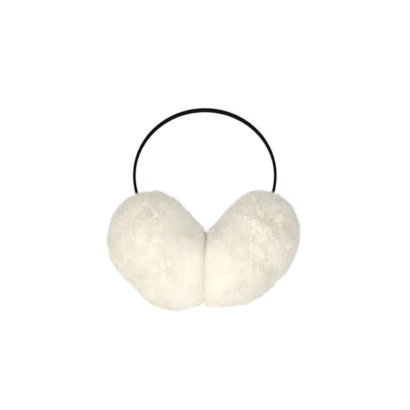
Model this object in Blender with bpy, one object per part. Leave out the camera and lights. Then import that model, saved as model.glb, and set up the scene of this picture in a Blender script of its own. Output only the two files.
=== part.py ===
"""Fur earmuffs: a thin covered headband and two deep-fur pads, each with a padded ear cushion.

The pads are drawn as they lie unworn: the spring of the band presses them together at the bottom.
The parts are modelled in the plane of the band, with +Y towards its top and +Z towards the front.
That plane is then tilted so that the pads and the top of the band rest on the floor at Z = 0.
"""

import math
import random
from collections import namedtuple

import bmesh
import bpy
import numpy as np
from mathutils import Matrix, Quaternion, Vector

MM = 0.001

# Headband: a flat sprung strip in a cloth cover, bent to a round arch
BAND_RADIUS = 65.0 * MM
BAND_WIDTH = 6.5 * MM
BAND_THICKNESS = 2.6 * MM
BAND_ROUNDING = 0.42  # share of the thickness that each rounded edge takes
BAND_DIP = 16.0  # degrees that the round arch runs below its widest level
BAND_END_RADIUS = 100.0 * MM
BAND_END_LENGTH = 53.0 * MM  # the gentler hidden stretch inside each pad

# Pads: soft discs, measured to the outside of the fur's backing
PAD_RADIUS = 54.0 * MM
PAD_SEAT = 12.6 * MM  # from a pad's centre to the band's end, towards the ear
CONTACT_LEAN = 3.3  # degrees that the pressed faces lean from upright
CONTACT_SHIFT = 1.2 * MM  # to the right of the middle between the pads' centres
CONTACT_GAP = 0.3 * MM
FLOOR_SQUASH = 2.4 * MM  # how much of each pad the floor flattens

# Locks of fur on the backing
LOCK_COUNT = 120  # over a whole pad, before the pressed and cut places are left out
LOCK_LENGTH = 22.0 * MM
LOCK_WIDTH = 12.0 * MM
LOCK_DEPTH = 4.2 * MM
LOCK_LIFT = 2.6 * MM  # how far a tip stands off the backing
LOCK_ROOT = 2.5 * MM
LOCK_SWIRL = 28.0  # degrees that a lock turns from the pad's nap

# Ear cushions
EAR_RADIUS = 27.0 * MM
EAR_THICKNESS = 13.0 * MM
EAR_FLAT_RADIUS = 13.0 * MM
EAR_SEAT = 26.0 * MM  # from the pad's centre to the cushion's back

CLEARANCE = 0.4 * MM
CUTTER_REACH = 400.0 * MM
SHARP_ANGLE = math.radians(50)

# Shares of PAD_RADIUS at angles from the ear side (0) past the rim (90) to the outer side (180).
# top and bottom are the halves towards and away from the band, side is the front and the back.
Section = namedtuple("Section", "angle top bottom side")
LEFT_SECTIONS = (
    Section(0, 0.82, 0.82, 0.82),
    Section(30, 0.95, 0.88, 0.88),
    Section(60, 0.94, 1.07, 0.95),
    Section(90, 0.86, 1.17, 0.98),
    Section(120, 0.79, 1.01, 0.89),
    Section(150, 0.71, 0.80, 0.74),
    Section(180, 0.64, 0.64, 0.64),
)
RIGHT_SECTIONS = (
    Section(0, 0.73, 0.73, 0.73),
    Section(30, 0.91, 0.88, 0.85),
    Section(60, 0.95, 1.07, 0.95),
    Section(90, 0.89, 1.19, 0.98),
    Section(120, 0.75, 0.92, 0.88),
    Section(150, 0.64, 0.63, 0.71),
    Section(180, 0.58, 0.58, 0.58),
)

# Hollows where the fur parts: where they lie in degrees, and their depth as a share of PAD_RADIUS.
Dent = namedtuple("Dent", "from_ear round_rim spread depth")
LEFT_DENTS = (Dent(65, 116, 15, 0.030),)
RIGHT_DENTS = (Dent(88, 68, 14, 0.055),)

# A lock from its sunk root to its tip, as shares of its length, width, depth and lift.
LockRow = namedtuple("LockRow", "along width depth lift")
LOCK_ROWS = (
    LockRow(0.00, 0.55, 0.60, -1.0),
    LockRow(0.35, 1.00, 1.00, -0.05),
    LockRow(0.72, 0.72, 0.70, 0.42),
)

# A lock's cross-section: a ridge, two edges and a keel, as shares of its width and depth there.
LockCorner = namedtuple("LockCorner", "across up")
LOCK_CORNERS = (
    LockCorner(-0.5, -0.3),
    LockCorner(0.0, 0.5),
    LockCorner(0.5, -0.3),
    LockCorner(0.0, -1.0),
)

# Half of a cushion's profile, as shares of its radius and thickness.
CushionRow = namedtuple("CushionRow", "radius height")
CUSHION_EDGE = (
    CushionRow(0.94, 0.00),
    CushionRow(1.00, 0.14),
    CushionRow(1.00, 0.42),
    CushionRow(0.92, 0.72),
    CushionRow(0.74, 0.94),
)

Pad = namedtuple("Pad", "name side lean sections dents seed")
PADS = (
    Pad("left", -1, 42.5, LEFT_SECTIONS, LEFT_DENTS, 11),
    Pad("right", 1, 43.5, RIGHT_SECTIONS, RIGHT_DENTS, 29),
)

BLACK_CLOTH = ((0.006, 0.006, 0.007), 0.75)
CREAM_FUR = ((0.86, 0.80, 0.70), 0.95)
CREAM_PLUSH = ((0.84, 0.77, 0.66), 0.95)


def clear_scene():
    for obj in list(bpy.data.objects):
        bpy.data.objects.remove(obj, do_unlink=True)


def make_material(name, finish):
    colour, roughness = finish
    material = bpy.data.materials.new(name)
    material.use_nodes = True
    shader = material.node_tree.nodes["Principled BSDF"]
    shader.inputs["Base Color"].default_value = (*colour, 1.0)
    shader.inputs["Roughness"].default_value = roughness
    shader.inputs["Metallic"].default_value = 0.0
    return material


def object_from(name, mesh_builder, material=None, parent=None, rounded=False):
    """A new object whose mesh is what mesh_builder, a bmesh, holds, with its faces turned outwards."""
    bmesh.ops.recalc_face_normals(mesh_builder, faces=mesh_builder.faces)
    mesh = bpy.data.meshes.new(name)
    mesh_builder.to_mesh(mesh)
    mesh_builder.free()
    if rounded:
        mesh.shade_smooth()
        mesh.set_sharp_from_angle(angle=SHARP_ANGLE)
    obj = bpy.data.objects.new(name, mesh)
    bpy.context.scene.collection.objects.link(obj)
    if material:
        mesh.materials.append(material)
    obj.parent = parent
    return obj


def as_cutter(obj):
    obj.hide_render = True
    obj.display_type = "WIRE"
    return obj


def add_boolean(obj, operand, operation, crossing=False):
    modifier = obj.modifiers.new(f"{operation.lower()}_{operand.name}", "BOOLEAN")
    modifier.operation = operation
    modifier.object = operand
    modifier.solver = "EXACT"
    modifier.use_self = crossing


def ear_axis(pad):
    """The direction from a pad's centre out through its ear side."""
    lean = math.radians(pad.lean)
    return Vector((-pad.side * math.sin(lean), math.cos(lean), 0.0))


def rim_axis(pad):
    """The direction from a pad's centre to its upper outer rim."""
    lean = math.radians(pad.lean)
    return Vector((pad.side * math.cos(lean), math.sin(lean), 0.0))


def band_path():
    """(point, direction) along the middle of the strip, from inside the left pad to inside the right."""
    dip = math.radians(BAND_DIP)
    turn = BAND_END_LENGTH / BAND_END_RADIUS
    arch_steps, end_steps = 48, 8
    right = []
    for k in range(arch_steps // 2 + 1):
        angle = math.pi / 2 - (math.pi / 2 + dip) * k / (arch_steps // 2)
        right.append((Vector((math.cos(angle), math.sin(angle), 0)) * BAND_RADIUS, angle))
    hub = right[-1][0] - BAND_END_RADIUS * Vector((math.cos(dip), -math.sin(dip), 0))
    for k in range(1, end_steps + 1):
        angle = -dip - turn * k / end_steps
        right.append((hub + BAND_END_RADIUS * Vector((math.cos(angle), math.sin(angle), 0)), angle))
    left = [(Vector((-p.x, p.y, 0)), math.pi - a) for p, a in reversed(right[1:])]
    return [(p, Vector((math.cos(a), math.sin(a), 0))) for p, a in left + right]


def pad_centre(pad):
    end = band_path()[-1][0]
    return Vector((pad.side * end.x, end.y, 0.0)) - PAD_SEAT * ear_axis(pad)


def contact_place():
    """The matrix of the plane where the pads press together: its local X points out of it to the right."""
    middle = sum((pad_centre(pad) for pad in PADS), Vector()) / len(PADS)
    place = Matrix.Translation(middle + Vector((CONTACT_SHIFT, 0, 0)))
    return place @ Matrix.Rotation(-math.radians(CONTACT_LEAN), 4, "Z")


def smooth_share(values, spacing, angle):
    """Catmull-Rom through values that repeat round a full circle, one every spacing degrees."""
    place = angle / spacing
    first = math.floor(place)
    t = place - first
    before, start, end, after = (values[(first + k) % len(values)] for k in (-1, 0, 1, 2))
    bend = 2 * before - 5 * start + 4 * end - after
    twist = 3 * (start - end) + after - before
    return start + 0.5 * t * ((end - before) + t * (bend + t * twist))


def pad_direction(pad, from_ear, round_rim):
    """The unit vector at these angles, in degrees, from the ear axis and round it from the upper rim."""
    polar, turn = math.radians(from_ear), math.radians(round_rim)
    across = math.cos(turn) * rim_axis(pad) + math.sin(turn) * Vector((0, 0, 1))
    return math.cos(polar) * ear_axis(pad) + math.sin(polar) * across


def backing_radius(pad, direction):
    """How far the fur's backing lies from the pad's centre in this direction."""
    ear, rim = ear_axis(pad), rim_axis(pad)
    rows = pad.sections
    spacing = rows[1].angle - rows[0].angle
    from_ear = math.degrees(math.acos(max(-1.0, min(1.0, direction.dot(ear)))))
    round_rim = math.atan2(direction.z, direction.dot(rim))
    upper = [row.top for row in rows]
    lower = [row.bottom for row in rows]
    middle = [row.side for row in rows]
    outline = upper + lower[-2:0:-1]
    depth = middle + middle[-2:0:-1]
    turned = from_ear if math.cos(round_rim) >= 0 else -from_ear
    across = math.cos(round_rim) ** 2
    share = across * smooth_share(outline, spacing, turned)
    share += (1 - across) * smooth_share(depth, spacing, from_ear)
    for dent in pad.dents:
        away = math.degrees(direction.angle(pad_direction(pad, dent.from_ear, dent.round_rim)))
        share -= dent.depth * math.exp(-((away / dent.spread) ** 2))
    return share * PAD_RADIUS


def backing_point(pad, direction, lift=0.0):
    return pad_centre(pad) + (backing_radius(pad, direction) + lift) * direction


def make_backing(pad):
    """The stuffed body of a pad, as a bmesh."""
    body = bmesh.new()
    bmesh.ops.create_icosphere(body, subdivisions=3, radius=1.0)
    for vertex in body.verts:
        vertex.co = backing_point(pad, vertex.co.normalized())
    return body


def spread_directions(count):
    """Evenly spread unit vectors, on a golden spiral."""
    turn = math.pi * (3 - math.sqrt(5))
    for k in range(count):
        height = 1 - 2 * (k + 0.5) / count
        ring = math.sqrt(1 - height * height)
        yield Vector((ring * math.cos(k * turn), ring * math.sin(k * turn), height))


def add_lock(locks, pad, root, nap):
    """One pointed lock that lies along the backing, with a ridge, from its root direction along nap."""
    hinge = root.cross(nap).normalized()
    reach = LOCK_LENGTH / backing_radius(pad, root)
    rings = []
    for row in LOCK_ROWS:
        direction = Quaternion(hinge, reach * row.along) @ root
        lift = LOCK_LIFT * row.lift if row.lift > 0 else LOCK_ROOT * row.lift
        middle = backing_point(pad, direction, lift)
        wide = LOCK_WIDTH * row.width * hinge
        deep = LOCK_DEPTH * row.depth * direction
        rings.append([locks.verts.new(middle + c.across * wide + c.up * deep) for c in LOCK_CORNERS])
    tip = locks.verts.new(backing_point(pad, Quaternion(hinge, reach) @ root, LOCK_LIFT))
    locks.faces.new(rings[0])
    for lower, upper in zip(rings, rings[1:]):
        for k in range(len(LOCK_CORNERS)):
            locks.faces.new((lower[k], lower[k - 1], upper[k - 1], upper[k]))
    for k in range(len(LOCK_CORNERS)):
        locks.faces.new((rings[-1][k], rings[-1][k - 1], tip))


def make_locks(pad):
    """All the locks of a pad, as a bmesh. Their nap runs from the outer side over the rim to the ear."""
    draw = random.Random(pad.seed)
    locks = bmesh.new()
    ear = ear_axis(pad)
    ear_edge = math.atan2(EAR_RADIUS, EAR_SEAT + EAR_THICKNESS / 2)
    to_contact = contact_place().inverted()
    for root in spread_directions(LOCK_COUNT):
        swirl = math.radians(draw.uniform(-LOCK_SWIRL, LOCK_SWIRL))
        if root.angle(ear) < ear_edge + LOCK_LENGTH / PAD_RADIUS:
            continue
        if pad.side * (to_contact @ backing_point(pad, root)).x < 0:
            continue
        nap = (ear - ear.dot(root) * root).normalized()
        add_lock(locks, pad, root, Quaternion(root, swirl) @ nap)
    return locks


def make_strip(grow=0.0):
    """The band's strip as a bmesh. grow widens it all round, for the pocket that it sits in."""
    strip = bmesh.new()
    half_width = BAND_WIDTH / 2 + grow
    half_thick = BAND_THICKNESS / 2 + grow
    bevel = BAND_ROUNDING * BAND_THICKNESS
    section = [
        (side_a * half_thick, side_b * (half_width - bevel))
        if flat
        else (side_a * (half_thick - bevel), side_b * half_width)
        for side_a, side_b, flat in (
            (1, -1, True), (1, 1, True), (1, 1, False), (-1, 1, False),
            (-1, 1, True), (-1, -1, True), (-1, -1, False), (1, -1, False),
        )
    ]
    path = band_path()
    along = (path[-1][0] - path[-2][0]).normalized() * grow
    ends = {0: Vector((-along.x, along.y, 0)), len(path) - 1: along}
    rings = []
    for k, (point, outwards) in enumerate(path):
        middle = point + ends.get(k, Vector())
        rings.append([strip.verts.new(middle + outwards * a + Vector((0, 0, b))) for a, b in section])
    for ring, following in zip(rings, rings[1:]):
        for k in range(len(section)):
            strip.faces.new((ring[k], ring[k - 1], following[k - 1], following[k]))
    strip.faces.new(rings[0])
    strip.faces.new(rings[-1])
    return strip


def spin_about_ear(pad, profile, steps=32):
    """A closed body turned about a pad's ear axis through (radius, height) points that start and end on it."""
    ear, rim = ear_axis(pad), rim_axis(pad)
    turned = bmesh.new()
    rings = []
    for radius, height in profile:
        middle = pad_centre(pad) + height * ear
        if radius == 0:
            rings.append([turned.verts.new(middle)])
            continue
        around = (2 * math.pi * k / steps for k in range(steps))
        rings.append([
            turned.verts.new(middle + radius * (math.cos(a) * rim + math.sin(a) * Vector((0, 0, 1))))
            for a in around
        ])
    for ring, following in zip(rings, rings[1:]):
        for k in range(steps):
            corners = [ring[k % len(ring)], ring[k - 1 if len(ring) > 1 else 0]]
            corners += [following[k - 1 if len(following) > 1 else 0], following[k % len(following)]]
            turned.faces.new(list(dict.fromkeys(corners)))
    return turned


def make_cushion(pad):
    """The padded ear cushion: flat where the ear meets it, round at its edge."""
    edge = [(row.radius * EAR_RADIUS, EAR_SEAT + row.height * EAR_THICKNESS) for row in CUSHION_EDGE]
    top = EAR_SEAT + EAR_THICKNESS
    return spin_about_ear(pad, [(0, EAR_SEAT), *edge, (EAR_FLAT_RADIUS, top), (0, top)])


def make_ear_well(pad):
    """What is cut from a pad's fur for the ear cushion to sit in."""
    radius = EAR_RADIUS + CLEARANCE
    floor, mouth = EAR_SEAT - CLEARANCE, 2 * PAD_RADIUS
    return spin_about_ear(pad, [(0, floor), (radius, floor), (radius, mouth), (0, mouth)])


def make_contact_block(pad):
    """Everything on the far side of the plane where the other pad presses, less half of the gap."""
    block = bmesh.new()
    bmesh.ops.create_cube(block, size=CUTTER_REACH)
    offset = -pad.side * (CUTTER_REACH - CONTACT_GAP) / 2
    place = contact_place() @ Matrix.Translation((offset, 0, 0))
    bmesh.ops.transform(block, matrix=place, verts=block.verts)
    return block


def make_floor_block():
    block = bmesh.new()
    bmesh.ops.create_cube(block, size=CUTTER_REACH)
    bmesh.ops.translate(block, vec=(0, 0, -CUTTER_REACH / 2), verts=block.verts)
    return block


def points_of(*builders):
    """The corners of some bmeshes, one row each. The bmeshes are freed."""
    points = np.array([vertex.co for builder in builders for vertex in builder.verts])
    for builder in builders:
        builder.free()
    return points


def resting_place():
    """The matrix that lays the band's plane down, with the middle of the whole over the origin.

    The band and the pads touch the floor together once it has flattened the pads by FLOOR_SQUASH.
    """
    band = points_of(make_strip())
    pads = points_of(*(make_backing(pad) for pad in PADS))
    locks = points_of(*(make_locks(pad) for pad in PADS))

    def lowest(points, tilt):
        return (points[:, 2] * math.cos(tilt) - points[:, 1] * math.sin(tilt)).min()

    low, high = 0.0, math.radians(60)
    for _ in range(40):
        tilt = (low + high) / 2
        if lowest(band, tilt) - lowest(pads, tilt) > FLOOR_SQUASH:
            low = tilt
        else:
            high = tilt
    turn = Matrix.Rotation(-tilt, 4, "X")
    laid = np.concatenate((band, pads, locks)) @ np.array(turn.to_3x3()).T
    middle = (laid.min(axis=0) + laid.max(axis=0)) / 2
    return Matrix.Translation((-middle[0], -middle[1], -lowest(band, tilt))) @ turn


def make_pad(pad, frame, slot, floor, fur, plush):
    """The fur body and the ear cushion of one pad."""
    body = object_from(f"fur_{pad.name}", make_backing(pad), fur, frame, rounded=True)
    locks = as_cutter(object_from(f"locks_{pad.name}", make_locks(pad), None, frame, rounded=True))
    well = as_cutter(object_from(f"ear_well_{pad.name}", make_ear_well(pad), None, frame))
    block = as_cutter(object_from(f"contact_{pad.name}", make_contact_block(pad), None, frame))
    add_boolean(body, locks, "UNION", crossing=True)
    for cutter in (slot, well, block, floor):
        add_boolean(body, cutter, "DIFFERENCE")
    cushion = object_from(f"ear_cushion_{pad.name}", make_cushion(pad), plush, frame, rounded=True)
    add_boolean(cushion, block, "DIFFERENCE")


def main():
    clear_scene()
    cloth = make_material("black_cloth", BLACK_CLOTH)
    fur = make_material("cream_fur", CREAM_FUR)
    plush = make_material("cream_plush", CREAM_PLUSH)
    frame = bpy.data.objects.new("band_plane", None)
    bpy.context.scene.collection.objects.link(frame)
    frame.matrix_world = resting_place()
    object_from("headband", make_strip(), cloth, frame, rounded=True)
    slot = as_cutter(object_from("band_slot", make_strip(CLEARANCE), None, frame))
    floor = as_cutter(object_from("floor_block", make_floor_block()))
    for pad in PADS:
        make_pad(pad, frame, slot, floor, fur, plush)


main()
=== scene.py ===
# Fur earmuffs that lie on a pale table, seen from straight above.
# Each pad is a stuffed skin with tens of thousands of strands of fur combed over it.

import math

import bmesh
import bpy
import numpy as np
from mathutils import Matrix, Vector
from mathutils.bvhtree import BVHTree
from mathutils.kdtree import KDTree


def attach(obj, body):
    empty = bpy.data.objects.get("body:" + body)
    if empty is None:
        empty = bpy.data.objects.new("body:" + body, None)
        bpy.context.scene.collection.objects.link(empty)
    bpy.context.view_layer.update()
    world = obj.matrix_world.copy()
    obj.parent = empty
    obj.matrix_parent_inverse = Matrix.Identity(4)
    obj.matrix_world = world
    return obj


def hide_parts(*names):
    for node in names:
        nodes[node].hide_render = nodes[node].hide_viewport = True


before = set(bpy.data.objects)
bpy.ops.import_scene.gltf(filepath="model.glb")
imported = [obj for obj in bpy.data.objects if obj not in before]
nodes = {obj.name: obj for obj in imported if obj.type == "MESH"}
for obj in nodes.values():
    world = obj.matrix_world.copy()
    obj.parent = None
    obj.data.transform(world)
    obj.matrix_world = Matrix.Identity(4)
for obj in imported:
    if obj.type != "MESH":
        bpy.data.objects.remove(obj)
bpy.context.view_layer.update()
mm = 0.001

# Where the pieces lie in the shared frame, in mm
bandPlane = {"arch": (1.35, 29.78, 25.34), "tilt": 20.03}
contact = {"point": (2.32, -38.19, 50.03), "right": (0.9983, -0.0541, 0.0197)}
tableClear = 0.2  # mm that skin, fur and cushions keep off the table
pads = {
    "left": {
        "side": -1,
        "centre": (-42.84, -38.26, 50.05),
        "ear": (0.6756, 0.6927, -0.2525),  # towards the face that goes on the ear
        "rim": (-0.7373, 0.6347, -0.2314),  # towards the band
        "seed": 5,
        # mm that the fur stands out more than the CAD, by degrees from +X seen from above
        "trim": (
            (-70, 1.6), (-55, 0.8), (-10, 0), (18, 0.2), (30, 0.4), (42, 1.2), (52, 1.9), (68, 2.8),
            (80, 1.6), (95, 1.0), (120, 2.4), (135, 2.0), (160, -0.4), (190, 0.6), (215, -0.4), (235, -1.7),
            (247, -0.6), (262, 1.2), (276, 0.9), (290, 1.6),
        ),
    },
    "right": {
        "side": 1,
        "centre": (45.07, -38.12, 50.00),
        "ear": (-0.6884, 0.6815, -0.2484),
        "rim": (0.7254, 0.6467, -0.2358),
        "seed": 23,
        "trim": (
            (-130, 2.4), (-115, -0.5), (-100, 0.7), (-75, 0.2), (-52, -2.0), (-28, -1.9), (5, 0.6),
            (20, 0.8), (35, 0.1), (50, 2.5), (65, 1.0), (80, 1.1), (92, 1.4), (110, 0.2), (125, 0),
            (140, -2.6), (150, -2.6), (162, -0.2), (200, 0), (230, 2.4),
        ),
    },
}


# Shader helpers


class Wire:  # the socket of a node, so that shader maths reads as maths
    def __init__(self, shader, socket):
        self.shader = shader
        self.socket = socket

    def maths(self, operation, first, second):
        return self.shader.add("ShaderNodeMath", {"operation": operation}, {0: first, 1: second})

    def __add__(self, other):
        return self.maths("ADD", self, other)

    def __radd__(self, other):
        return self.maths("ADD", other, self)

    def __sub__(self, other):
        return self.maths("SUBTRACT", self, other)

    def __rsub__(self, other):
        return self.maths("SUBTRACT", other, self)

    def __mul__(self, other):
        return self.maths("MULTIPLY", self, other)

    def __rmul__(self, other):
        return self.maths("MULTIPLY", other, self)


class Shader:  # one material and its nodes
    def __init__(self, name):
        self.material = bpy.data.materials.new(name)
        self.material.use_nodes = True
        self.tree = self.material.node_tree
        self.tree.nodes.clear()

    def add(self, kind, settings=None, sockets=None, result=0):
        node = self.tree.nodes.new(kind)
        for key, value in (settings or {}).items():
            if key == "stops":
                self.setStops(node.color_ramp, value)
            else:
                setattr(node, key, value)
        for key, value in (sockets or {}).items():
            if isinstance(value, Wire):
                self.tree.links.new(value.socket, node.inputs[key])
            else:
                node.inputs[key].default_value = value
        return Wire(self, node.outputs[result]) if len(node.outputs) else None

    def setStops(self, ramp, stops):
        while len(ramp.elements) < len(stops):
            ramp.elements.new(0.5)  # the loop below puts it in its place
        for element, (place, colour) in zip(ramp.elements, stops):
            element.position = place
            element.color = (*colour, 1)

    def mix(self, share, first, second, blend="MIX"):
        return self.add(
            "ShaderNodeMix",
            {"data_type": "RGBA", "blend_type": blend},
            {"Factor": share, 6: first, 7: second},  # 6, 7 and result 2 are the sockets for colours
            2,
        )

    def finish(self, sockets):
        surface = self.add("ShaderNodeBsdfPrincipled", None, sockets)
        self.add("ShaderNodeOutputMaterial", None, {"Surface": surface})
        return self.material


# Mesh helpers

noiseWaves = {"count": 8, "stretch": (0.6, 1.4), "height": 2.8}  # what softNoise adds up


def unit(vectors):
    return vectors / np.maximum(np.linalg.norm(vectors, axis=-1, keepdims=True), 1e-12)


def newPiece(name, points, faces, material):
    mesh = bpy.data.meshes.new(name)
    mesh.from_pydata([tuple(p) for p in points], [], [tuple(f) for f in faces])
    mesh.polygons.foreach_set("use_smooth", [True] * len(mesh.polygons))
    mesh.materials.append(material)
    mesh.update()
    piece = bpy.data.objects.new(name, mesh)
    bpy.context.scene.collection.objects.link(piece)
    return piece


def softNoise(points, apart, seed):  # smooth values, mostly from -1 to 1, with lumps that far apart
    draw = np.random.default_rng(seed)
    total = np.zeros(len(points))
    for _ in range(noiseWaves["count"]):
        wave = unit(draw.normal(size=3)) * draw.uniform(*noiseWaves["stretch"]) * 2 * math.pi / apart
        total += np.sin(points @ wave + draw.uniform(0, 2 * math.pi))
    return total / noiseWaves["height"]


def nearestOf(points, chosen):  # for each point, which of the chosen rows of points is nearest
    tree = KDTree(len(chosen))
    for k, row in enumerate(chosen):
        tree.insert(points[row], k)
    tree.balance()
    return np.array([tree.find(p)[1] for p in points])


def vertexNormals(points, triangles):
    a, b, c = (points[triangles[:, k]] for k in range(3))
    across = np.cross(b - a, c - a)
    normals = np.zeros_like(points)
    for k in range(3):
        np.add.at(normals, triangles[:, k], across)
    return unit(normals)


def fromContact(points, pad):  # how far they are on this pad's side of the faces that press together
    middle, right = np.array(contact["point"]) * mm, unit(np.array(contact["right"]))
    return pad["side"] * ((points - middle) @ right)


def keepInside(points, pad, clear):  # on this pad's side of the contact, and off the table
    right = unit(np.array(contact["right"]))
    short = np.maximum(clear - fromContact(points, pad), 0)
    points = points + (pad["side"] * short)[..., None] * right
    points[..., 2] = np.maximum(points[..., 2], tableClear * mm)
    return points


# The pads' skins

skinLook = {
    "fineness": 6,  # how often the ball that takes the form is divided
    "outside": 0.15,  # metres from the pad's centre to where the form is felt for, inwards
    "pressed": (0.9, 0.4),  # mm from the contact and from the table that count as pressed flat
    "filling": 400,  # rounds that bring back the round form there
    "smoothing": 16,  # rounds that blend the CAD's locks into one soft form
    "formClear": 0.1,  # mm that the outer form keeps from the contact
    "skinClear": 1.5,  # mm that the skin does
    "depth": 5.2,  # mm from the outer form down to the skin
    "fill": 0.85,
    "grain": (900.0, 60.0),  # scales of the fine and the broad mottling
    # The skin is a darker cream than the fur, painted shade for the gaps between strands; the grain mottles
    # it
    "dark": (0.84, 0.78, 0.68, 1),
    "light": (0.95, 0.91, 0.83, 1),
    "rough": 0.95,
    "bump": (0.6, 0.0006),  # strength, and metres
    "glowShare": 0.8,  # painted glow, as a share of the fur's
}


def padForm(pad, side):  # the pad's smooth outer form: points, triangles and outward normals
    solids = [nodes[f"fur_{side}"], nodes[f"ear_cushion_{side}"]]
    corners, faces = [], []
    for solid in solids:
        solid.data.calc_loop_triangles()
        faces += [[v + len(corners) for v in t.vertices] for t in solid.data.loop_triangles]
        corners += [v.co.copy() for v in solid.data.vertices]
    tree = BVHTree.FromPolygons(corners, faces)
    ball = bmesh.new()
    bmesh.ops.create_icosphere(ball, subdivisions=skinLook["fineness"], radius=1.0)
    ways = unit(np.array([v.co for v in ball.verts]))
    triangles = np.array([[v.index for v in f.verts] for f in ball.faces])
    edges = np.array([[v.index for v in e.verts] for e in ball.edges])
    ball.free()
    centre = np.array(pad["centre"]) * mm
    hits = np.empty_like(ways)
    for k, way in enumerate(ways):  # from outside in, so that the band's pocket doesn't count
        hits[k] = tree.ray_cast(Vector(centre + skinLook["outside"] * way), Vector(-way))[0]
    reach = np.linalg.norm(hits - centre, axis=1)
    count = np.bincount(edges.ravel(), minlength=len(ways))

    def blended():
        around = np.bincount(edges[:, 0], reach[edges[:, 1]], len(ways))
        return (around + np.bincount(edges[:, 1], reach[edges[:, 0]], len(ways))) / count

    byContact, byTable = skinLook["pressed"]
    flat = (fromContact(hits, pad) < byContact * mm) | (hits[:, 2] < byTable * mm)
    reach[flat] = reach[~flat].mean()
    for _ in range(skinLook["filling"]):  # the form from before the pads were pressed together and laid down
        reach[flat] = blended()[flat]
    for _ in range(skinLook["smoothing"]):
        reach = 0.5 * reach + 0.5 * blended()
    turn = np.degrees(np.arctan2(ways[:, 1], ways[:, 0]))
    table = np.array(pad["trim"])
    trim = np.interp(turn, table[:, 0], table[:, 1])
    trim = np.where(turn < table[0, 0], np.interp(turn + 360, table[:, 0], table[:, 1]), trim)
    reach += trim * mm * np.hypot(ways[:, 0], ways[:, 1])
    points = keepInside(centre + reach[:, None] * ways, pad, skinLook["formClear"] * mm)
    return points, triangles, vertexNormals(points, triangles)


def makeSkin(side, pad, form, material):
    points, triangles, normals = form
    inside = keepInside(points - skinLook["depth"] * mm * normals, pad, skinLook["skinClear"] * mm)
    piece = newPiece(f"furSkin_{side}", inside, triangles, material)
    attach(piece, "root")
    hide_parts(f"fur_{side}")


# The fur

furLook = {
    # For each pad: how many strands, points along one, mm longer than the mean, mm wide, pieces they fill
    "kinds": {
        "underfur": {"count": 44000, "steps": 3, "long": -0.6, "width": 0.95, "parts": 1},
        "guardHair": {"count": 50000, "steps": 4, "long": 0.5, "width": 0.47, "parts": 2},
    },
    "quick": (4, 1.8),
    "area": 31000,  # square mm of fur on a pad, which tufts and wisps share out
    "pressedShare": 0.25,  # how densely fur grows where the pad is pressed flat
    "pressed": (0.3, -0.98),  # mm from the contact, and how straight down, that count as pressed
    "bare": (20, 24.5),  # mm towards the ear, and mm round its axis, where the cushion leaves no fur
    "lift": 0.98,  # mm that a mean tip stands off the outer form
    "liftSpread": 0.75,  # from strand to strand
    "liftNoise": (22, 0.5),  # mm apart and mm high
    "tuftLift": 0.22,
    "wispLift": 0.18,
    "liftRange": (-3.5, 4.2),
    "lean": 5.5,  # mm that a strand leans over along the pad
    "leanSpread": (0.75, 1.15),
    "leanLong": 0.1,  # how much more a longer kind leans, for each mm
    "bend": 1.6,  # how late along a strand it leans over
    "padRadius": 52,  # mm, for following the pad's curve
    "toEar": 0.45,  # how much of the lean goes towards the ear,
    "down": 0.6,  # how much down from the band,
    "wander": 0.2,  # and how much wanders
    "wanderNoise": ((38, 1.0), (13, 0.7)),  # mm apart and strength
    "tuftNap": 0.1,
    "wispNap": 0.12,
    "ownNap": 0.28,
    "napRange": (0.4, 1.6),
    "smallestNap": 0.05,
    "tuftApart": 9.0,
    "tuftPull": 0.08,
    "wispApart": 2.0,
    "wispPull": 0.12,
    "pullBend": 1.3,
    "pullSpread": (0.5, 1.0),
    "frizz": 0.2,
    "partingPush": 0.25,  # how far a parting turns the nap away from itself,
    "partingSink": 1.3,  # how many mm it sinks,
    "partingShadow": 0.8,  # and how much painted shadow darkens its colour
    "shade": 0.6,
    "shadeNoise": ((38, 0.1), (12, 0.06)),  # mm apart and strength
    "tuftShade": 0.03,
    "ownShade": 0.04,
    "shadeRange": (0.06, 0.97),
    "softness": 0.56,  # how far a strand is lit as the pad under it, and not as a strip of its own
    # Painted glow: the fur's colour emits light, most at the roots, to lift the shade deep in the pile
    "glow": 0.38,
    "rootGlow": (1.0, 0.992, 0.97, 1),
    "tipGlow": (0.04, 0.0395, 0.0385, 1),
    "rough": (0.95, 0.15),  # at the root, and how much less at the tip
    "specular": 0.25,
    # The lowest stops colour the painted shadow of the contact crease and of the partings
    "tipShades": (
        (0.04, (0.70, 0.66, 0.575)),
        (0.2, (0.915, 0.868, 0.79)),
        (0.45, (0.955, 0.916, 0.848)),
        (1.0, (0.985, 0.944, 0.872)),
    ),
    "rootShades": (
        (0.04, (0.56, 0.525, 0.46)),
        (0.2, (0.90, 0.865, 0.81)),
        (1.0, (0.97, 0.958, 0.925)),
    ),
}
meetingLook = {  # where the two pads press together, in mm
    "low": (32, 18),  # how far down the furs start to cross more, and over how many mm
    "cross": (0.2, 0.6),  # how far a mean strand crosses, and how much further low down
    "crossSpread": (0.3, 0.5),
    # Painted shadow: tips at the contact take a dark tan shade, for the crease where the two furs meet
    "creaseShadowWide": 0.7,  # how near the contact a tip lies in the painted crease shadow
    "creaseShadowTone": 0.03,
    "creaseShadowFade": 0.4,  # how much of the painted crease shadow goes low down
    "mingled": (20, 16),  # how far down the furs start to be lit as one, and over how many mm
    "mingledWide": 34,  # how far from the contact that reaches
    "turn": 0.9,  # how fully the normals turn out of the contact there
    "glow": 0.27,  # how far painted glow reaches towards the tips there,
    "glowOver": 14,  # all of it this far from the contact,
    "glowLeast": 0.2,  # and this share of it at the contact
}
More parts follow.
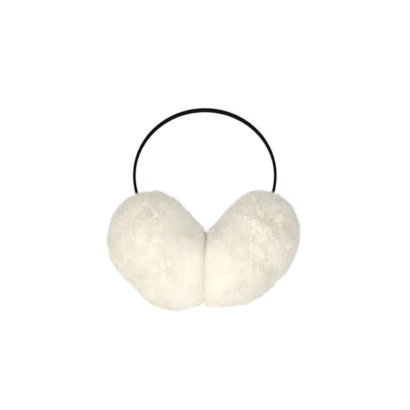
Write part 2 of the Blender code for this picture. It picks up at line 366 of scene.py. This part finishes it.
partings = {  # where the fur falls apart: degrees from the ear and round from the band, then mm and strength
    "left": ((75, 105, 4, 0.6), (72, 110, 4, 0.6), (69, 116, 4, 0.5), (66, 121, 4, 0.45), (63, 127, 4, 0.35)),
    "right": (
        (79, 72, 5, 0.5), (82, 70, 5, 0.6), (85, 68, 5, 0.6), (89, 66, 5, 0.5),
        (100, 62, 5, 0.55), (105, 61, 5, 0.6), (109, 59, 5, 0.5), (98, 112, 12, 0.28),
    ),
}
strandLook = {
    "roll": 0.27,  # radians that a strip turns from lying flat
    "tapers": {3: (1.0, 0.8), 4: (0.8, 1.0, 0.72)},  # widths from the root, by points along a strand
    "widthSpread": (0.75, 1.25),
    "chartWide": 0.012,
    "chartLong": (0.02, 0.96),
}


def sampleForm(form, count, weigh, draw):  # scattered points on the form, with normals
    points, triangles, normals = form
    a, b, c = (points[triangles[:, k]] for k in range(3))
    across = np.cross(b - a, c - a)
    weight = np.linalg.norm(across, axis=1) * weigh((a + b + c) / 3, unit(across))
    which = draw.choice(len(triangles), size=count, p=weight / weight.sum())
    u, v = draw.random((2, count))
    fold = u + v > 1
    u[fold], v[fold] = 1 - u[fold], 1 - v[fold]
    shares = np.stack((1 - u - v, u, v), axis=1)[:, :, None]
    corner = triangles[which]
    return (shares * points[corner]).sum(axis=1), unit((shares * normals[corner]).sum(axis=1))


def padWay(pad, fromEar, fromBand):  # the way out of the pad at these angles, in degrees
    ear, rim = np.array(pad["ear"]), np.array(pad["rim"])
    front = pad["side"] * np.cross(rim, ear)
    front = front if front[2] > 0 else -front
    polar, turn = math.radians(fromEar), math.radians(fromBand)
    across = math.cos(turn) * rim + math.sin(turn) * front
    return math.cos(polar) * ear + math.sin(polar) * across


def combFur(side, pad, form, count, steps, long, draw):  # each strand's path, normal, shade and tip reach
    centre, ear = np.array(pad["centre"]) * mm, np.array(pad["ear"])

    def weigh(spots, across):  # few strands where the pad is pressed flat, and none under the ear cushion
        byContact, downwards = furLook["pressed"]
        bareAlong, bareRound = furLook["bare"]
        out = spots - centre
        along = out @ ear
        fromAxis = np.linalg.norm(out - along[:, None] * ear, axis=1)
        pressed = (fromContact(spots, pad) < byContact * mm) | (across[:, 2] < downwards)
        cushion = (along > bareAlong * mm) & (fromAxis < bareRound * mm)
        return np.where(cushion, 0.0, np.where(pressed, furLook["pressedShare"], 1.0))

    spots, normals = sampleForm(form, count, weigh, draw)
    tufts = draw.choice(count, size=int(furLook["area"] / furLook["tuftApart"] ** 2), replace=False)
    wisps = draw.choice(count, size=int(furLook["area"] / furLook["wispApart"] ** 2), replace=False)
    tuft, wisp = nearestOf(spots, tufts), nearestOf(spots, wisps)

    nap = furLook["toEar"] * ear - furLook["down"] * np.array([0, 1, 0]) + np.zeros((count, 3))
    for apart, share in furLook["wanderNoise"]:
        field = [softNoise(spots, apart * mm, pad["seed"] + apart + k) for k in range(3)]
        nap += share * furLook["wander"] * np.stack(field, axis=1)
    ofTufts = draw.normal(0, furLook["tuftNap"], (len(tufts), 3))[tuft]
    nap += ofTufts + draw.normal(0, furLook["wispNap"], (len(wisps), 3))[wisp]
    nap += draw.normal(0, furLook["ownNap"], (count, 3))

    sink = np.zeros(count)
    for fromEar, fromBand, size, strength in partings[side]:
        spot = centre + padWay(pad, fromEar, fromBand) * np.linalg.norm(spots - centre, axis=1)[:, None]
        away = spots - spot
        near = strength * np.exp(-((np.linalg.norm(away, axis=1) / (size * mm)) ** 2))
        nap = nap + furLook["partingPush"] * near[:, None] * unit(away)
        sink = np.maximum(sink, near)
    nap = nap - (nap * normals).sum(axis=1)[:, None] * normals
    strong = np.linalg.norm(nap, axis=1)
    nap *= (np.clip(strong, *furLook["napRange"]) / np.maximum(strong, furLook["smallestNap"]))[:, None]

    apart, high = furLook["liftNoise"]
    lift = furLook["lift"] + long + high * softNoise(spots, apart * mm, pad["seed"] + 1)
    ofTufts = draw.normal(0, furLook["tuftLift"], len(tufts))[tuft]
    lift += ofTufts + draw.normal(0, furLook["wispLift"], len(wisps))[wisp]
    lift += draw.normal(0, furLook["liftSpread"], count) - furLook["partingSink"] * sink
    lift = np.clip(lift, *furLook["liftRange"]) * mm
    leaning = draw.uniform(*furLook["leanSpread"], count)
    nap *= (furLook["lean"] * mm * leaning * (1 + furLook["leanLong"] * long))[:, None]

    along = np.linspace(0, 1, steps)
    depth = skinLook["depth"] * mm
    paths = np.empty((count, steps, 3))
    for k, s in enumerate(along):  # a strand leaves the skin upright, then leans over with the nap
        run = nap * s ** furLook["bend"]
        height = -depth + (depth + lift) * s - (run**2).sum(axis=1) / (2 * furLook["padRadius"] * mm)
        frizz = furLook["frizz"] * mm * s * draw.normal(size=(count, 3))
        paths[:, k] = spots + height[:, None] * normals + run + frizz
    for pull, heads, own in (("wispPull", wisps, wisp), ("tuftPull", tufts, tuft)):
        drawn = draw.uniform(*furLook["pullSpread"], (count, 1))
        share = furLook[pull] * along ** furLook["pullBend"] * drawn
        paths += share[:, :, None] * (paths[heads][own] - paths)

    start, over = meetingLook["low"]
    low = np.clip((-start * mm - spots[:, 1]) / (over * mm), 0, 1)
    (cross, crossLow), (spread, spreadLow) = meetingLook["cross"], meetingLook["crossSpread"]
    meet = -cross - crossLow * low + (spread + spreadLow * low) * draw.normal(0, 1, count)
    paths = keepInside(paths, pad, meet[:, None] * mm)

    (broad, broadShade), (fine, fineShade) = furLook["shadeNoise"]
    warm = furLook["shade"] + broadShade * softNoise(spots, broad * mm, pad["seed"] + 2)
    warm = warm + fineShade * softNoise(spots, fine * mm, pad["seed"] + 3)
    ofTufts = draw.normal(0, furLook["tuftShade"], len(tufts))[tuft]
    # painted shadow: a parting's colour darkens where the pile opens
    warm += ofTufts + draw.normal(0, furLook["ownShade"], count) - furLook["partingShadow"] * sink
    warm = np.clip(warm, *furLook["shadeRange"])
    # painted shadow in the crease at the contact, lighter low down
    seam = np.clip(meetingLook["creaseShadowWide"] - fromContact(paths[:, -1], pad) / mm, 0, 1)
    seam = (1 - meetingLook["creaseShadowFade"] * low) * seam
    shades = warm * (1 - seam) + meetingLook["creaseShadowTone"] * seam

    right = unit(np.array(contact["right"]))  # where the furs mingle, they are lit as one surface
    start, over = meetingLook["mingled"]
    off = fromContact(spots, pad)
    mingled = np.clip((-start * mm - spots[:, 1]) / (over * mm), 0, 1)
    mingled = mingled * np.clip(1 - off / (meetingLook["mingledWide"] * mm), 0, 1)
    normals = unit(normals - (meetingLook["turn"] * mingled * (normals @ right))[:, None] * right)
    # painted light: near the contact strands sit lower on their chart, so they glow more and take more root
    # colour
    nearness = np.clip(off / (meetingLook["glowOver"] * mm), meetingLook["glowLeast"], 1)
    tipReach = 1 - meetingLook["glow"] * mingled * nearness
    return paths, normals, shades, tipReach


def strandPiece(name, paths, normals, shades, tipReach, width, material, draw):  # a tapered ribbon each
    count, steps = paths.shape[:2]
    ahead = unit(paths[:, -1] - paths[:, 0])
    wide = unit(np.cross(ahead, normals))
    roll = draw.normal(0, strandLook["roll"], count)[:, None]
    wide = np.cos(roll) * wide + np.sin(roll) * unit(np.cross(wide, ahead))
    taper = np.array(strandLook["tapers"][steps])
    half = 0.5 * width * mm * draw.uniform(*strandLook["widthSpread"], count)[:, None] * taper
    rows = paths[:, :-1]
    points = np.empty((count, 2 * steps - 1, 3))
    points[:, 0:-1:2] = rows - half[:, :, None] * wide[:, None]
    points[:, 1:-1:2] = rows + half[:, :, None] * wide[:, None]
    points[:, -1] = paths[:, -1]
    faces = []
    for k in range(steps - 2):
        faces += [(2 * k, 2 * k + 1, 2 * k + 3), (2 * k, 2 * k + 3, 2 * k + 2)]
    faces.append((2 * steps - 4, 2 * steps - 3, 2 * steps - 2))
    faces = np.array(faces)
    each = 2 * steps - 1
    corners = (faces[None] + each * np.arange(count)[:, None, None]).reshape(-1)
    up = np.array([k // 2 for k in range(each - 1)] + [steps - 1]) / (steps - 1)
    sideways = np.array([(-1, 1)[k % 2] for k in range(each - 1)] + [0]) * strandLook["chartWide"]
    across = (shades[:, None] + sideways[None])[:, faces].reshape(-1)
    foot, span = strandLook["chartLong"]
    upward = ((foot + span * up)[faces] * tipReach[:, None, None]).reshape(-1)

    mesh = bpy.data.meshes.new(name)
    mesh.vertices.add(count * each)
    mesh.vertices.foreach_set("co", points.reshape(-1).astype(np.float32))
    mesh.loops.add(len(corners))
    mesh.loops.foreach_set("vertex_index", corners.astype(np.int32))
    mesh.polygons.add(len(corners) // 3)
    mesh.polygons.foreach_set("loop_start", np.arange(0, len(corners), 3, dtype=np.int32))
    mesh.update(calc_edges=True)
    mesh.polygons.foreach_set("use_smooth", np.ones(len(corners) // 3, dtype=bool))
    chart = mesh.uv_layers.new(name="OFBake")  # across holds the strand's shade, up runs from root to tip
    chart.data.foreach_set("uv", np.stack((across, upward), axis=1).reshape(-1).astype(np.float32))
    lit = unit(furLook["softness"] * normals + (1 - furLook["softness"]) * np.cross(wide, ahead))
    mesh.normals_split_custom_set_from_vertices(np.repeat(lit, each, axis=0))
    mesh.materials.append(material)
    piece = bpy.data.objects.new(name, mesh)
    bpy.context.scene.collection.objects.link(piece)
    return piece


def makeFur(side, pad, form, material):
    draw = np.random.default_rng(pad["seed"])
    for kind, look in furLook["kinds"].items():
        count = look["count"]
        width = look["width"]
        combed = combFur(side, pad, form, count, look["steps"], look["long"], draw)
        for k in range(look["parts"]):
            rows = slice(k * count // look["parts"], (k + 1) * count // look["parts"])
            name = f"{kind}_{side}" + (f"_{k + 1}" if look["parts"] > 1 else "")
            piece = strandPiece(name, *(values[rows] for values in combed), width, material, draw)
            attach(piece, "root")
            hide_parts(f"fur_{side}")


def furMaterial():
    shader = Shader("creamFur")
    chart = shader.add("ShaderNodeUVMap", {"uv_map": "OFBake"})
    shade = shader.add("ShaderNodeSeparateXYZ", None, {0: chart}, 0)
    upward = shader.add("ShaderNodeSeparateXYZ", None, {0: chart}, 1)
    tips = shader.add("ShaderNodeValToRGB", {"stops": furLook["tipShades"]}, {0: shade})
    roots = shader.add("ShaderNodeValToRGB", {"stops": furLook["rootShades"]}, {0: shade})
    colour = shader.mix(upward, roots, tips)
    glow = shader.mix(upward, furLook["rootGlow"], furLook["tipGlow"])  # painted glow, brightest at the roots, in place of light scattered through the pile
    glow = shader.mix(1.0, glow, colour, "MULTIPLY")
    rootRough, smoother = furLook["rough"]
    rough = rootRough - smoother * upward
    return shader.finish(
        {
            "Base Color": colour,
            "Roughness": rough,
            "Specular IOR Level": furLook["specular"],
            "Emission Color": glow,
            "Emission Strength": furLook["glow"],
        }
    )


def skinMaterial():
    shader = Shader("creamFurSkin")
    place = shader.add("ShaderNodeTexCoord", None, None, 3)
    fineScale, broadScale = skinLook["grain"]
    fine = shader.add("ShaderNodeTexNoise", None, {"Vector": place, "Scale": fineScale, "Detail": 3.0})
    broad = shader.add("ShaderNodeTexNoise", None, {"Vector": place, "Scale": broadScale, "Detail": 2.0})
    colour = shader.mix(0.5 * fine + 0.5 * broad, skinLook["dark"], skinLook["light"])
    strength, distance = skinLook["bump"]
    bump = shader.add("ShaderNodeBump", None, {"Strength": strength, "Distance": distance, "Height": fine})
    return shader.finish(
        {
            "Base Color": colour,
            "Roughness": skinLook["rough"],
            "Emission Color": furLook["rootGlow"],
            "Emission Strength": skinLook["glowShare"] * furLook["glow"],
            "Normal": bump,
        }
    )


# The ear cushions

cushionLook = {
    "radius": 26.6,
    "seat": 26.4,  # mm from the pad's centre to the cushion's back
    "height": 8.6,
    "crown": 1.2,  # mm that the middle swells
    "back": ((0.0, 0.0), (0.5, 0.0), (0.94, 0.0)),  # shares of the radius and the height
    "edge": (0.90, 0.10, 0.5, 0.42),  # middle and size of the rounded edge, across and up
    "edgeTurn": (0.35, 2.3, 9),  # radians that it runs from and to, and its steps
    "face": (0.9, 0.8, 0.68, 0.54, 0.4, 0.26, 0.12),  # shares of the radius, inwards
    "faceFoot": 0.86,  # share of the height where the face starts
    "faceWide": (0.97, 2.6),  # share of the radius where its curve ends, and how late it falls
    "steps": 96,
    "pucker": (9, 0.012),  # how many puckers, and how deep
    "clear": 0.5,  # mm that the cushion keeps from the contact
    "fill": 0.7,
    "strands": 20000,
    "pile": 3.4,
    "pileSpread": (0.6, 1.1),
    "pileFrom": 5,  # mm above the cushion's back, as only its face shows
    "pileClear": 0.3,
    "rootDepth": 0.3,
    "rise": ((0.5, 0.2), (0.75, 0.8)),  # shares of the pile up and along, at a strand's middle and tip
    "wander": 0.35,
    "wisps": 700,
    "wispPull": 0.5,
    "pullSpread": (0.4, 1),
    "shade": 0.6,
    "shadeNoise": (14, 0.15),  # mm apart and strength
    "ownShade": 0.07,
    "shadeRange": (0.03, 0.97),
    "width": 0.5,
}


def cushionProfile():  # shares of the radius and the height, from the middle of the back to that of the face
    wide, bulge, middle, tall = cushionLook["edge"]
    crown = cushionLook["crown"] / cushionLook["height"]
    foot = cushionLook["faceFoot"]
    end, fall = cushionLook["faceWide"]
    profile = list(cushionLook["back"])
    turns = np.linspace(*cushionLook["edgeTurn"])
    profile += [(wide + bulge * math.sin(a), middle - tall * math.cos(a)) for a in turns]
    profile += [(r, foot + (1 - foot + crown) * (1 - (r / end) ** fall)) for r in cushionLook["face"]]
    return profile + [(0.0, 1.0 + crown)]


def cushionForm(pad):  # crowned, with a rounded edge
    centre, ear, rim = (np.array(pad[k]) for k in ("centre", "ear", "rim"))
    front = np.cross(ear, rim)
    profile = cushionProfile()
    steps = cushionLook["steps"]
    puckers, deep = cushionLook["pucker"]
    points, faces = [], []
    for share, up in profile:
        for k in range(steps if share else 1):
            a = 2 * math.pi * k / steps
            pucker = 1 + deep * math.sin(puckers * a + pad["seed"]) * share**3
            out = share * pucker * cushionLook["radius"] * (math.cos(a) * rim + math.sin(a) * front)
            points.append((centre + (cushionLook["seat"] + up * cushionLook["height"]) * ear + out) * mm)
    for row in range(len(profile) - 1):
        first = 0 if row == 0 else 1 + (row - 1) * steps
        for k in range(steps):
            after = (k + 1) % steps
            if row == 0:
                faces.append((0, 1 + after, 1 + k))
            elif row == len(profile) - 2:
                faces.append((first + k, first + after, len(points) - 1))
            else:
                faces.append((first + k, first + after, first + steps + after))
                faces.append((first + k, first + steps + after, first + steps + k))
    points, triangles = np.array(points), np.array(faces)
    normals = vertexNormals(points, triangles)
    if (normals[-1] @ ear) < 0:
        triangles, normals = triangles[:, ::-1], -normals
    return points, triangles, normals


def makeCushion(side, pad, skin, plush):
    points, triangles, normals = cushionForm(pad)
    inside = keepInside(points, pad, cushionLook["clear"] * mm)
    cushion = newPiece(f"earCushion_{side}", inside, triangles, skin)
    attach(cushion, "root")
    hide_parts(f"ear_cushion_{side}")

    draw = np.random.default_rng(pad["seed"] + 40)
    ear, centre = np.array(pad["ear"]), np.array(pad["centre"]) * mm

    def weigh(spots, across):  # only the face shows
        lowest = (cushionLook["seat"] + cushionLook["pileFrom"]) * mm
        return np.where((spots - centre) @ ear > lowest, 1.0, 0.0)

    count = cushionLook["strands"]
    spots, out = sampleForm((inside, triangles, normals), count, weigh, draw)
    wisps = draw.choice(count, size=cushionLook["wisps"], replace=False)
    wisp = nearestOf(spots, wisps)
    down = -np.array(pad["rim"])
    nap = unit(down - (out @ down)[:, None] * out + cushionLook["wander"] * draw.normal(size=(count, 3)))
    pile = cushionLook["pile"] * mm * draw.uniform(*cushionLook["pileSpread"], count)[:, None]
    rows = [spots - cushionLook["rootDepth"] * mm * out]
    rows += [spots + upright * pile * out + leaning * pile * nap for upright, leaning in cushionLook["rise"]]
    paths = np.stack(rows, axis=1)
    share = np.array([0, 0.5, 1.0])[None, :, None] * draw.uniform(*cushionLook["pullSpread"], (count, 1, 1))
    paths += cushionLook["wispPull"] * share * (paths[wisps][wisp] - paths)
    paths = keepInside(paths, pad, cushionLook["pileClear"] * mm)
    apart, strength = cushionLook["shadeNoise"]
    shades = cushionLook["shade"] + strength * softNoise(spots, apart * mm, pad["seed"])
    shades = np.clip(shades + draw.normal(0, cushionLook["ownShade"], count), *cushionLook["shadeRange"])
    whole = np.ones(count)
    piece = strandPiece(f"earPlush_{side}", paths, out, shades, whole, cushionLook["width"], plush, draw)
    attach(piece, "root")
    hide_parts(f"ear_cushion_{side}")


# The headband

bandLook = {
    "radius": 64.6,
    "dip": 16.0,  # degrees that the round arch runs below its widest level
    "endRadius": 100.0,
    "endLength": 53.0,
    "archSteps": 90,
    "endSteps": 31,
    "width": 6.5,
    "thickness": 2.6,
    "sides": 28,
    "squareness": (0.62, 0.42),  # of the section, outwards and across: 1 is round, 0 is square
    "seamHeight": 0.22,
    "seamWidth": 0.45,
    "girth": 17.0,  # mm round the strip, for the weave
    "ribApart": 0.55,
    "dark": (0.0015, 0.0015, 0.0015, 1),
    "light": (0.007, 0.0065, 0.0065, 1),
    "weaveShare": 0.55,  # of the colour, the rest being fuzz
    "fuzzHeight": 0.6,
    "rough": (0.72, 0.2),
    "bump": (0.5, 0.00015),  # strength, and metres
    "specular": 0.05,
}


def bandRoute():  # (across, up, angle of the outward way) along the strip, in the band's own plane
    dip, turn = math.radians(bandLook["dip"]), bandLook["endLength"] / bandLook["endRadius"]
    half = []
    arch = np.linspace(math.pi / 2, -dip, bandLook["archSteps"])
    for a in arch:
        half.append((bandLook["radius"] * math.cos(a), bandLook["radius"] * math.sin(a), a))
    reach = bandLook["radius"] - bandLook["endRadius"]
    hub = (reach * math.cos(dip), -reach * math.sin(dip))
    for a in np.linspace(-dip, -dip - turn, bandLook["endSteps"])[1:]:
        x = hub[0] + bandLook["endRadius"] * math.cos(a)
        half.append((x, hub[1] + bandLook["endRadius"] * math.sin(a), a))
    left = [(-x, y, math.pi - a) for x, y, a in reversed(half[1:])]
    return left + half


def bandSection():  # a rounded strip with a raised seam: outwards, then across its width
    halfWide, halfThick = bandLook["width"] / 2, bandLook["thickness"] / 2
    outwards, across = bandLook["squareness"]
    section = []
    for k in range(bandLook["sides"]):
        a = 2 * math.pi * k / bandLook["sides"]
        c, s = math.cos(a), math.sin(a)
        x = halfThick * math.copysign(abs(c) ** outwards, c)
        y = halfWide * math.copysign(abs(s) ** across, s)
        seam = bandLook["seamHeight"] * math.exp(-((y / bandLook["seamWidth"]) ** 2))
        section.append((x - seam if x < 0 else x, y))
    return section


def makeBand(material):
    tilt = math.radians(bandPlane["tilt"])
    across = np.array((1.0, 0.0, 0.0))
    up = np.array((0.0, math.cos(tilt), -math.sin(tilt)))
    front = np.array((0.0, math.sin(tilt), math.cos(tilt)))
    arch = np.array(bandPlane["arch"])
    section = bandSection()
    route = bandRoute()
    points, faces, chart = [], [], []
    along = 0.0
    for k, (x, y, a) in enumerate(route):
        middle = arch + x * across + y * up
        if k:
            along += math.dist((x, y), route[k - 1][:2])
        outward = math.cos(a) * across + math.sin(a) * up
        points += [(middle + u * outward + v * front) * mm for u, v in section]
        chart.append(along)
    ring = len(section)
    for k in range(len(route) - 1):
        for j in range(ring):
            n = (j + 1) % ring
            faces.append((k * ring + j, k * ring + n, (k + 1) * ring + n, (k + 1) * ring + j))
    faces.append(tuple(range(ring))[::-1])
    faces.append(tuple((len(route) - 1) * ring + j for j in range(ring)))
    band = newPiece("bandCover", points, faces, material)
    mesh = band.data
    weave = mesh.uv_layers.new(name="weave")  # mm round the strip, and mm along it
    for face in mesh.polygons:
        for corner in face.loop_indices:
            v = mesh.loops[corner].vertex_index
            j, k = v % ring, v // ring
            if j == 0 and any(mesh.loops[c].vertex_index % ring == ring - 1 for c in face.loop_indices):
                j = ring
            weave.data[corner].uv = (j * bandLook["girth"] / ring, chart[k])
    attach(band, "root")
    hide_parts("headband")


def bandMaterial():
    shader = Shader("blackCloth")
    place = shader.add("ShaderNodeUVMap", {"uv_map": "weave"})
    around = shader.add("ShaderNodeSeparateXYZ", None, {0: place}, 0)
    along = shader.add("ShaderNodeSeparateXYZ", None, {0: place}, 1)
    turn = 2 * math.pi / bandLook["ribApart"]
    warp = shader.add("ShaderNodeMath", {"operation": "SINE"}, {0: around * turn})
    weft = shader.add("ShaderNodeMath", {"operation": "SINE"}, {0: along * turn})
    weave = 0.5 + 0.5 * warp * weft
    fuzz = shader.add("ShaderNodeTexNoise", None, {"Vector": place, "Scale": 3.0, "Detail": 4.0})
    woven = bandLook["weaveShare"]
    colour = shader.mix(woven * weave + (1 - woven) * fuzz, bandLook["dark"], bandLook["light"])
    height = weave + bandLook["fuzzHeight"] * fuzz
    strength, distance = bandLook["bump"]
    bump = shader.add("ShaderNodeBump", None, {"Strength": strength, "Distance": distance, "Height": height})
    least, more = bandLook["rough"]
    rough = least + more * fuzz
    return shader.finish(
        {
            "Base Color": colour,
            "Roughness": rough,
            "Specular IOR Level": bandLook["specular"],
            "Normal": bump,
        }
    )


# The table, the light and the camera

studioLook = {
    "cameraHeight": 1.30,
    "lens": 122.2,
    "aim": (0.0015, 0.0022),
    "sky": 0.455,
    "skyTint": (0.79, 0.91, 1.0, 1),
    "warmTint": (1.0, 0.918, 0.77),
    # name, place and size in metres, watts
    "lamps": (
        ("overLight", (-0.30, -0.42, 1.62), 1.2, 12.15),
        ("keyLight", (0.12, -1.00, 1.10), 0.8, 2.5),
    ),
    "lampAim": (0, -0.03, 0.03),
    "tableHalf": 3.0,
    "tableDark": (0.215, 0.217, 0.222, 1),
    "tableLight": (0.225, 0.227, 0.23, 1),
    "tableRough": 0.9,
    "tableSpecular": 0.1,
    "tableShine": (0.975, 0.985, 1.0, 1),
    "tableGlow": 0.88,
}


def tableMaterial():
    shader = Shader("paleTable")
    place = shader.add("ShaderNodeTexCoord", None, None, 3)
    grain = shader.add("ShaderNodeTexNoise", None, {"Vector": place, "Scale": 40.0, "Detail": 2.0})
    colour = shader.mix(grain, studioLook["tableDark"], studioLook["tableLight"])
    return shader.finish(
        {
            "Base Color": colour,
            "Roughness": studioLook["tableRough"],
            "Specular IOR Level": studioLook["tableSpecular"],
            "Emission Color": studioLook["tableShine"],
            "Emission Strength": studioLook["tableGlow"],  # a lit table, as packshots are taken on
        }
    )


def makeStudio():
    half = studioLook["tableHalf"]
    corners = [(-half, -half, 0), (half, -half, 0), (half, half, 0), (-half, half, 0)]
    floor = newPiece("table", corners, [(0, 1, 2, 3)], tableMaterial())

    world = bpy.data.worlds.new("studio")
    bpy.context.scene.world = world
    world.use_nodes = True
    world.node_tree.nodes["Background"].inputs["Color"].default_value = studioLook["skyTint"]
    world.node_tree.nodes["Background"].inputs["Strength"].default_value = studioLook["sky"]
    for name, place, size, power in studioLook["lamps"]:
        lamp = bpy.data.lights.new(name, "AREA")
        lamp.shape = "SQUARE"
        lamp.size = size
        lamp.energy = power
        lamp.color = studioLook["warmTint"]
        light = bpy.data.objects.new(name, lamp)
        light.location = place
        way = Vector(studioLook["lampAim"]) - Vector(place)
        light.rotation_euler = way.to_track_quat("-Z", "Y").to_euler()
        bpy.context.scene.collection.objects.link(light)

    camera = bpy.data.objects.new("camera", bpy.data.cameras.new("camera"))
    camera.data.sensor_width = 36.0
    camera.data.lens = studioLook["lens"]
    camera.location = (*studioLook["aim"], studioLook["cameraHeight"])
    camera.data.clip_start, camera.data.clip_end = 0.05, 20.0
    bpy.context.scene.collection.objects.link(camera)
    bpy.context.scene.camera = camera
    bpy.context.scene.view_settings.view_transform = "Standard"


fur, skin, band = furMaterial(), skinMaterial(), bandMaterial()
makeStudio()
print("studio ready")
makeBand(band)
print("headband ready")
for side, pad in pads.items():
    form = padForm(pad, side)
    makeSkin(side, pad, form, skin)
    makeFur(side, pad, form, fur)
    makeCushion(side, pad, skin, fur)
    print(side, "pad ready")
